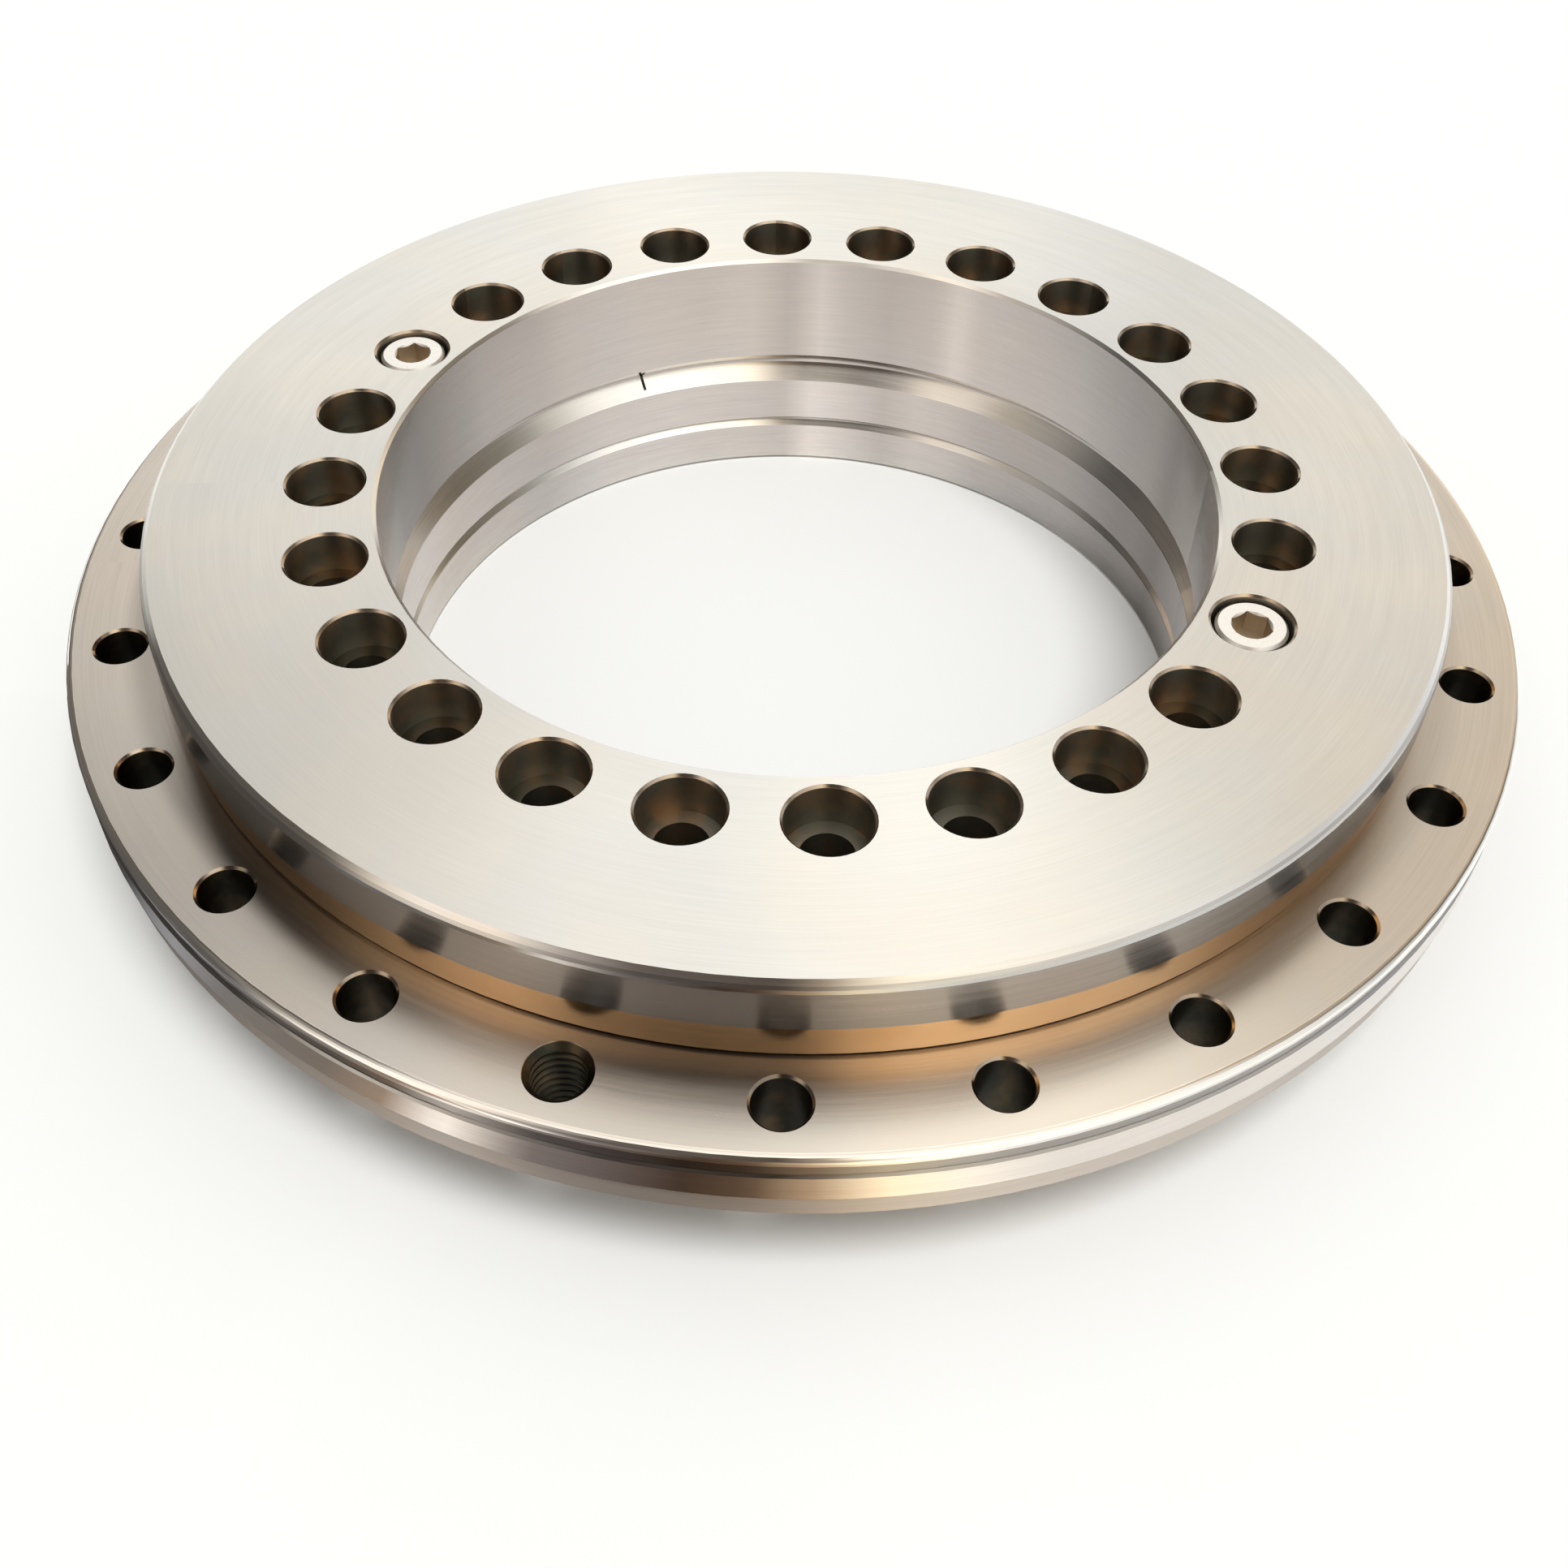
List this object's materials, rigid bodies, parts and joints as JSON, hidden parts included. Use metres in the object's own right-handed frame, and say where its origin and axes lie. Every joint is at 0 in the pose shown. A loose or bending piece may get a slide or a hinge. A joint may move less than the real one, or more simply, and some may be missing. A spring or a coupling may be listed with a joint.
{
  "type": "slewing ring bearing",
  "caption": "Axial-radial roller slewing ring: L-section inner ring, lower ring and drilled outer ring that turns on two thrust rows and one radial row of rollers.",
  "frame": {"origin": "centre of the underside of the lower inner ring, on the axis of rotation", "axes": "+Z is the axis of rotation, pointing out of the counterbored top face; +X and +Y pass through fixing holes of the inner ring"},
  "size_m": [0.21, 0.21, 0.04],
  "materials": {
    "ring_steel": "fine ground bearing steel, turned and ground around the axis",
    "cage_brass": "machined brass",
    "roller_steel": "polished hardened steel",
    "screw_steel": "bright turned steel"
  },
  "bodies": {
    "inner_rings": {"upper_ring": "ring_steel", "lower_ring": "ring_steel", "retaining_screw_1": "screw_steel", "retaining_screw_2": "screw_steel"},
    "outer_ring_body": {"outer_ring": "ring_steel"},
    "upper_thrust_row": {"upper_axial_cage": "cage_brass", "upper_axial_rollers": "roller_steel"},
    "lower_thrust_row": {"lower_axial_cage": "cage_brass", "lower_axial_rollers": "roller_steel"},
    "radial_cage_body": {"radial_cage": "cage_brass"},
    "roller_body_01": {"radial_roller_01": "roller_steel"},
    "roller_body_02": {"radial_roller_02": "roller_steel"},
    "roller_body_03": {"radial_roller_03": "roller_steel"},
    "roller_body_04": {"radial_roller_04": "roller_steel"},
    "roller_body_05": {"radial_roller_05": "roller_steel"},
    "roller_body_06": {"radial_roller_06": "roller_steel"},
    "roller_body_07": {"radial_roller_07": "roller_steel"},
    "roller_body_08": {"radial_roller_08": "roller_steel"},
    "roller_body_09": {"radial_roller_09": "roller_steel"},
    "roller_body_10": {"radial_roller_10": "roller_steel"},
    "roller_body_11": {"radial_roller_11": "roller_steel"},
    "roller_body_12": {"radial_roller_12": "roller_steel"},
    "roller_body_13": {"radial_roller_13": "roller_steel"},
    "roller_body_14": {"radial_roller_14": "roller_steel"},
    "roller_body_15": {"radial_roller_15": "roller_steel"},
    "roller_body_16": {"radial_roller_16": "roller_steel"},
    "roller_body_17": {"radial_roller_17": "roller_steel"},
    "roller_body_18": {"radial_roller_18": "roller_steel"},
    "roller_body_19": {"radial_roller_19": "roller_steel"},
    "roller_body_20": {"radial_roller_20": "roller_steel"},
    "roller_body_21": {"radial_roller_21": "roller_steel"},
    "roller_body_22": {"radial_roller_22": "roller_steel"},
    "roller_body_23": {"radial_roller_23": "roller_steel"},
    "roller_body_24": {"radial_roller_24": "roller_steel"},
    "roller_body_25": {"radial_roller_25": "roller_steel"},
    "roller_body_26": {"radial_roller_26": "roller_steel"},
    "roller_body_27": {"radial_roller_27": "roller_steel"},
    "roller_body_28": {"radial_roller_28": "roller_steel"},
    "roller_body_29": {"radial_roller_29": "roller_steel"},
    "roller_body_30": {"radial_roller_30": "roller_steel"},
    "roller_body_31": {"radial_roller_31": "roller_steel"},
    "roller_body_32": {"radial_roller_32": "roller_steel"},
    "roller_body_33": {"radial_roller_33": "roller_steel"},
    "roller_body_34": {"radial_roller_34": "roller_steel"},
    "roller_body_35": {"radial_roller_35": "roller_steel"},
    "roller_body_36": {"radial_roller_36": "roller_steel"}
  },
  "joints": [
    {"name": "outer_ring_spin", "type": "hinge", "parent": "inner_rings", "child": "outer_ring_body", "pos_m": [0, 0, 0.02], "axis": [0, 0, 1], "continuous": true},
    {"name": "upper_thrust_row_spin", "type": "hinge", "parent": "inner_rings", "child": "upper_thrust_row", "pos_m": [0, 0, 0.02925], "axis": [0, 0, 1], "continuous": true},
    {"name": "lower_thrust_row_spin", "type": "hinge", "parent": "inner_rings", "child": "lower_thrust_row", "pos_m": [0, 0, 0.01075], "axis": [0, 0, 1], "continuous": true},
    {"name": "radial_cage_spin", "type": "hinge", "parent": "inner_rings", "child": "radial_cage_body", "pos_m": [0, 0, 0.02], "axis": [0, 0, 1], "continuous": true},
    {"name": "roller_01_spin", "type": "hinge", "parent": "radial_cage_body", "child": "roller_body_01", "pos_m": [0.078, 0, 0.02], "axis": [0, 0, 1], "continuous": true},
    {"name": "roller_02_spin", "type": "hinge", "parent": "radial_cage_body", "child": "roller_body_02", "pos_m": [0.07681, 0.01354, 0.02], "axis": [0, 0, 1], "continuous": true},
    {"name": "roller_03_spin", "type": "hinge", "parent": "radial_cage_body", "child": "roller_body_03", "pos_m": [0.0733, 0.02668, 0.02], "axis": [0, 0, 1], "continuous": true},
    {"name": "roller_04_spin", "type": "hinge", "parent": "radial_cage_body", "child": "roller_body_04", "pos_m": [0.06755, 0.039, 0.02], "axis": [0, 0, 1], "continuous": true},
    {"name": "roller_05_spin", "type": "hinge", "parent": "radial_cage_body", "child": "roller_body_05", "pos_m": [0.05975, 0.05014, 0.02], "axis": [0, 0, 1], "continuous": true},
    {"name": "roller_06_spin", "type": "hinge", "parent": "radial_cage_body", "child": "roller_body_06", "pos_m": [0.05014, 0.05975, 0.02], "axis": [0, 0, 1], "continuous": true},
    {"name": "roller_07_spin", "type": "hinge", "parent": "radial_cage_body", "child": "roller_body_07", "pos_m": [0.039, 0.06755, 0.02], "axis": [0, 0, 1], "continuous": true},
    {"name": "roller_08_spin", "type": "hinge", "parent": "radial_cage_body", "child": "roller_body_08", "pos_m": [0.02668, 0.0733, 0.02], "axis": [0, 0, 1], "continuous": true},
    {"name": "roller_09_spin", "type": "hinge", "parent": "radial_cage_body", "child": "roller_body_09", "pos_m": [0.01354, 0.07681, 0.02], "axis": [0, 0, 1], "continuous": true},
    {"name": "roller_10_spin", "type": "hinge", "parent": "radial_cage_body", "child": "roller_body_10", "pos_m": [0, 0.078, 0.02], "axis": [0, 0, 1], "continuous": true},
    {"name": "roller_11_spin", "type": "hinge", "parent": "radial_cage_body", "child": "roller_body_11", "pos_m": [-0.01354, 0.07681, 0.02], "axis": [0, 0, 1], "continuous": true},
    {"name": "roller_12_spin", "type": "hinge", "parent": "radial_cage_body", "child": "roller_body_12", "pos_m": [-0.02668, 0.0733, 0.02], "axis": [0, 0, 1], "continuous": true},
    {"name": "roller_13_spin", "type": "hinge", "parent": "radial_cage_body", "child": "roller_body_13", "pos_m": [-0.039, 0.06755, 0.02], "axis": [0, 0, 1], "continuous": true},
    {"name": "roller_14_spin", "type": "hinge", "parent": "radial_cage_body", "child": "roller_body_14", "pos_m": [-0.05014, 0.05975, 0.02], "axis": [0, 0, 1], "continuous": true},
    {"name": "roller_15_spin", "type": "hinge", "parent": "radial_cage_body", "child": "roller_body_15", "pos_m": [-0.05975, 0.05014, 0.02], "axis": [0, 0, 1], "continuous": true},
    {"name": "roller_16_spin", "type": "hinge", "parent": "radial_cage_body", "child": "roller_body_16", "pos_m": [-0.06755, 0.039, 0.02], "axis": [0, 0, 1], "continuous": true},
    {"name": "roller_17_spin", "type": "hinge", "parent": "radial_cage_body", "child": "roller_body_17", "pos_m": [-0.0733, 0.02668, 0.02], "axis": [0, 0, 1], "continuous": true},
    {"name": "roller_18_spin", "type": "hinge", "parent": "radial_cage_body", "child": "roller_body_18", "pos_m": [-0.07681, 0.01354, 0.02], "axis": [0, 0, 1], "continuous": true},
    {"name": "roller_19_spin", "type": "hinge", "parent": "radial_cage_body", "child": "roller_body_19", "pos_m": [-0.078, 0, 0.02], "axis": [0, 0, 1], "continuous": true},
    {"name": "roller_20_spin", "type": "hinge", "parent": "radial_cage_body", "child": "roller_body_20", "pos_m": [-0.07681, -0.01354, 0.02], "axis": [0, 0, 1], "continuous": true},
    {"name": "roller_21_spin", "type": "hinge", "parent": "radial_cage_body", "child": "roller_body_21", "pos_m": [-0.0733, -0.02668, 0.02], "axis": [0, 0, 1], "continuous": true},
    {"name": "roller_22_spin", "type": "hinge", "parent": "radial_cage_body", "child": "roller_body_22", "pos_m": [-0.06755, -0.039, 0.02], "axis": [0, 0, 1], "continuous": true},
    {"name": "roller_23_spin", "type": "hinge", "parent": "radial_cage_body", "child": "roller_body_23", "pos_m": [-0.05975, -0.05014, 0.02], "axis": [0, 0, 1], "continuous": true},
    {"name": "roller_24_spin", "type": "hinge", "parent": "radial_cage_body", "child": "roller_body_24", "pos_m": [-0.05014, -0.05975, 0.02], "axis": [0, 0, 1], "continuous": true},
    {"name": "roller_25_spin", "type": "hinge", "parent": "radial_cage_body", "child": "roller_body_25", "pos_m": [-0.039, -0.06755, 0.02], "axis": [0, 0, 1], "continuous": true},
    {"name": "roller_26_spin", "type": "hinge", "parent": "radial_cage_body", "child": "roller_body_26", "pos_m": [-0.02668, -0.0733, 0.02], "axis": [0, 0, 1], "continuous": true},
    {"name": "roller_27_spin", "type": "hinge", "parent": "radial_cage_body", "child": "roller_body_27", "pos_m": [-0.01354, -0.07681, 0.02], "axis": [0, 0, 1], "continuous": true},
    {"name": "roller_28_spin", "type": "hinge", "parent": "radial_cage_body", "child": "roller_body_28", "pos_m": [0, -0.078, 0.02], "axis": [0, 0, 1], "continuous": true},
    {"name": "roller_29_spin", "type": "hinge", "parent": "radial_cage_body", "child": "roller_body_29", "pos_m": [0.01354, -0.07681, 0.02], "axis": [0, 0, 1], "continuous": true},
    {"name": "roller_30_spin", "type": "hinge", "parent": "radial_cage_body", "child": "roller_body_30", "pos_m": [0.02668, -0.0733, 0.02], "axis": [0, 0, 1], "continuous": true},
    {"name": "roller_31_spin", "type": "hinge", "parent": "radial_cage_body", "child": "roller_body_31", "pos_m": [0.039, -0.06755, 0.02], "axis": [0, 0, 1], "continuous": true},
    {"name": "roller_32_spin", "type": "hinge", "parent": "radial_cage_body", "child": "roller_body_32", "pos_m": [0.05014, -0.05975, 0.02], "axis": [0, 0, 1], "continuous": true},
    {"name": "roller_33_spin", "type": "hinge", "parent": "radial_cage_body", "child": "roller_body_33", "pos_m": [0.05975, -0.05014, 0.02], "axis": [0, 0, 1], "continuous": true},
    {"name": "roller_34_spin", "type": "hinge", "parent": "radial_cage_body", "child": "roller_body_34", "pos_m": [0.06755, -0.039, 0.02], "axis": [0, 0, 1], "continuous": true},
    {"name": "roller_35_spin", "type": "hinge", "parent": "radial_cage_body", "child": "roller_body_35", "pos_m": [0.0733, -0.02668, 0.02], "axis": [0, 0, 1], "continuous": true},
    {"name": "roller_36_spin", "type": "hinge", "parent": "radial_cage_body", "child": "roller_body_36", "pos_m": [0.07681, -0.01354, 0.02], "axis": [0, 0, 1], "continuous": true}
  ],
  "couplings": [
    {"joint": "upper_thrust_row_spin", "follows": "outer_ring_spin", "ratio": 0.5},
    {"joint": "lower_thrust_row_spin", "follows": "outer_ring_spin", "ratio": 0.5},
    {"joint": "radial_cage_spin", "follows": "outer_ring_spin", "ratio": 0.51923},
    {"joint": "roller_01_spin", "follows": "outer_ring_spin", "ratio": 12.981},
    {"joint": "roller_02_spin", "follows": "outer_ring_spin", "ratio": 12.981},
    {"joint": "roller_03_spin", "follows": "outer_ring_spin", "ratio": 12.981},
    {"joint": "roller_04_spin", "follows": "outer_ring_spin", "ratio": 12.981},
    {"joint": "roller_05_spin", "follows": "outer_ring_spin", "ratio": 12.981},
    {"joint": "roller_06_spin", "follows": "outer_ring_spin", "ratio": 12.981},
    {"joint": "roller_07_spin", "follows": "outer_ring_spin", "ratio": 12.981},
    {"joint": "roller_08_spin", "follows": "outer_ring_spin", "ratio": 12.981},
    {"joint": "roller_09_spin", "follows": "outer_ring_spin", "ratio": 12.981},
    {"joint": "roller_10_spin", "follows": "outer_ring_spin", "ratio": 12.981},
    {"joint": "roller_11_spin", "follows": "outer_ring_spin", "ratio": 12.981},
    {"joint": "roller_12_spin", "follows": "outer_ring_spin", "ratio": 12.981},
    {"joint": "roller_13_spin", "follows": "outer_ring_spin", "ratio": 12.981},
    {"joint": "roller_14_spin", "follows": "outer_ring_spin", "ratio": 12.981},
    {"joint": "roller_15_spin", "follows": "outer_ring_spin", "ratio": 12.981},
    {"joint": "roller_16_spin", "follows": "outer_ring_spin", "ratio": 12.981},
    {"joint": "roller_17_spin", "follows": "outer_ring_spin", "ratio": 12.981},
    {"joint": "roller_18_spin", "follows": "outer_ring_spin", "ratio": 12.981},
    {"joint": "roller_19_spin", "follows": "outer_ring_spin", "ratio": 12.981},
    {"joint": "roller_20_spin", "follows": "outer_ring_spin", "ratio": 12.981},
    {"joint": "roller_21_spin", "follows": "outer_ring_spin", "ratio": 12.981},
    {"joint": "roller_22_spin", "follows": "outer_ring_spin", "ratio": 12.981},
    {"joint": "roller_23_spin", "follows": "outer_ring_spin", "ratio": 12.981},
    {"joint": "roller_24_spin", "follows": "outer_ring_spin", "ratio": 12.981},
    {"joint": "roller_25_spin", "follows": "outer_ring_spin", "ratio": 12.981},
    {"joint": "roller_26_spin", "follows": "outer_ring_spin", "ratio": 12.981},
    {"joint": "roller_27_spin", "follows": "outer_ring_spin", "ratio": 12.981},
    {"joint": "roller_28_spin", "follows": "outer_ring_spin", "ratio": 12.981},
    {"joint": "roller_29_spin", "follows": "outer_ring_spin", "ratio": 12.981},
    {"joint": "roller_30_spin", "follows": "outer_ring_spin", "ratio": 12.981},
    {"joint": "roller_31_spin", "follows": "outer_ring_spin", "ratio": 12.981},
    {"joint": "roller_32_spin", "follows": "outer_ring_spin", "ratio": 12.981},
    {"joint": "roller_33_spin", "follows": "outer_ring_spin", "ratio": 12.981},
    {"joint": "roller_34_spin", "follows": "outer_ring_spin", "ratio": 12.981},
    {"joint": "roller_35_spin", "follows": "outer_ring_spin", "ratio": 12.981},
    {"joint": "roller_36_spin", "follows": "outer_ring_spin", "ratio": 12.981}
  ]
}
